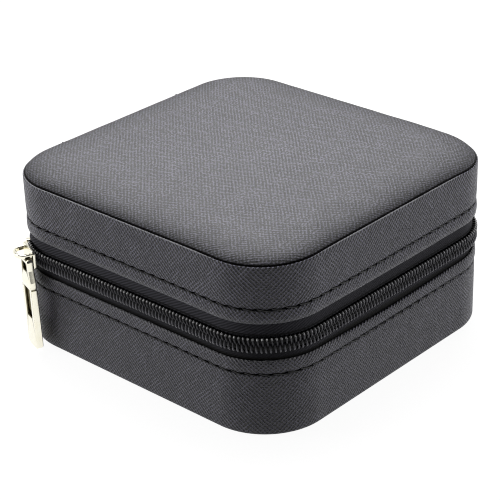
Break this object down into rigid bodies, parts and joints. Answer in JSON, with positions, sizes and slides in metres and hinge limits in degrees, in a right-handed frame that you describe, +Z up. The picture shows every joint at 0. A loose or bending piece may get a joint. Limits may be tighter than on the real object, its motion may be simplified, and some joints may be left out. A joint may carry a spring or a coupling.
{
  "type": "jewellery case",
  "caption": "Square zip-round jewellery case with a padded hinged lid, lined trays, ring rolls, lift-out dividers, necklace tabs and a lid pocket.",
  "frame": {"origin": "middle of the flat bottom face", "axes": "+Z up out of the lid, -Y the front, the hinge along X at the back (+Y), the zip slider at the rear left corner (-X, +Y)"},
  "size_m": [0.1045, 0.1042, 0.0513],
  "materials": {
    "board": "raw",
    "leather_wall": "cross-grained, satin",
    "velvet": "short velvet pile",
    "thread": "twisted thread",
    "coil": "gloss",
    "metal": "polished pale gold",
    "tape": "woven, twill ribs",
    "foam": "foam, matt",
    "elastic": "gathered knit",
    "leather_top": "cross-grained, satin"
  },
  "bodies": {
    "base": {"base_bottom_board": "board", "base_bottom_leather": "leather_wall", "base_lining": "velvet", "base_stitching": "thread", "base_wall_board": "board", "base_wall_leather": "leather_wall", "base_zip_coil": "coil", "base_zip_end_stop": "metal", "base_zip_tape": "tape", "base_zip_top_stop": "metal", "hinge_lining": "velvet", "hinge_panel_base": "leather_wall", "hinge_panel_bend": "leather_wall", "partition": "velvet", "ring_roll_1": "velvet", "ring_roll_2": "velvet", "ring_roll_3": "velvet", "ring_roll_4": "velvet", "ring_roll_5": "velvet", "ring_tray_board": "board"},
    "lid": {"hinge_panel_lid": "leather_wall", "hook_strip": "leather_wall", "lid_foam_pad": "foam", "lid_lining": "velvet", "lid_pocket": "elastic", "lid_stitching": "thread", "lid_top_board": "board", "lid_top_leather": "leather_top", "lid_wall_board": "board", "lid_wall_leather": "leather_wall", "lid_zip_coil": "coil", "lid_zip_end_stop": "metal", "lid_zip_tape": "tape", "lid_zip_top_stop": "metal", "pocket_hem": "elastic", "snap_sockets": "metal", "tab_rivets": "metal", "tab_roots": "leather_wall"},
    "slider": {"zip_slider": "metal"},
    "pull": {"zip_pull": "metal"},
    "divider_front": {"divider_front": "velvet"},
    "divider_rear": {"divider_rear": "velvet"},
    "hook_tab_1": {"hook_tab_1": "leather_wall", "snap_cap_1": "metal"},
    "hook_tab_2": {"hook_tab_2": "leather_wall", "snap_cap_2": "metal"},
    "hook_tab_3": {"hook_tab_3": "leather_wall", "snap_cap_3": "metal"}
  },
  "joints": [
    {"name": "lid_hinge", "type": "hinge", "parent": "base", "child": "lid", "pos_m": [0, 0.0518, 0.0278], "axis": [-1, 0, 0], "range_deg": [0, 105], "deforming": ["hinge_panel_bend", "hinge_lining"]},
    {"name": "zip_travel", "type": "hinge", "parent": "base", "child": "slider", "pos_m": [-0.0312, 0.0324, 0.027], "axis": [0, 0, 1], "range_deg": [0, 21]},
    {"name": "pull_swing", "type": "hinge", "parent": "slider", "child": "pull", "pos_m": [-0.05118, 0.04007, 0.0277], "axis": [0.3584, 0.9336, 0], "range_deg": [0, 80]},
    {"name": "divider_front_lift", "type": "slide", "parent": "base", "child": "divider_front", "axis": [0, 0, 1], "range_m": [0, 0.015]},
    {"name": "divider_rear_lift", "type": "slide", "parent": "base", "child": "divider_rear", "axis": [0, 0, 1], "range_m": [0, 0.015]},
    {"name": "hook_tab_1_snap", "type": "hinge", "parent": "lid", "child": "hook_tab_1", "pos_m": [-0.026, -0.037, 0.0427], "axis": [-1, 0, 0], "range_deg": [0, 100]},
    {"name": "hook_tab_2_snap", "type": "hinge", "parent": "lid", "child": "hook_tab_2", "pos_m": [0, -0.037, 0.0427], "axis": [-1, 0, 0], "range_deg": [0, 100]},
    {"name": "hook_tab_3_snap", "type": "hinge", "parent": "lid", "child": "hook_tab_3", "pos_m": [0.026, -0.037, 0.0427], "axis": [-1, 0, 0], "range_deg": [0, 100]}
  ]
}
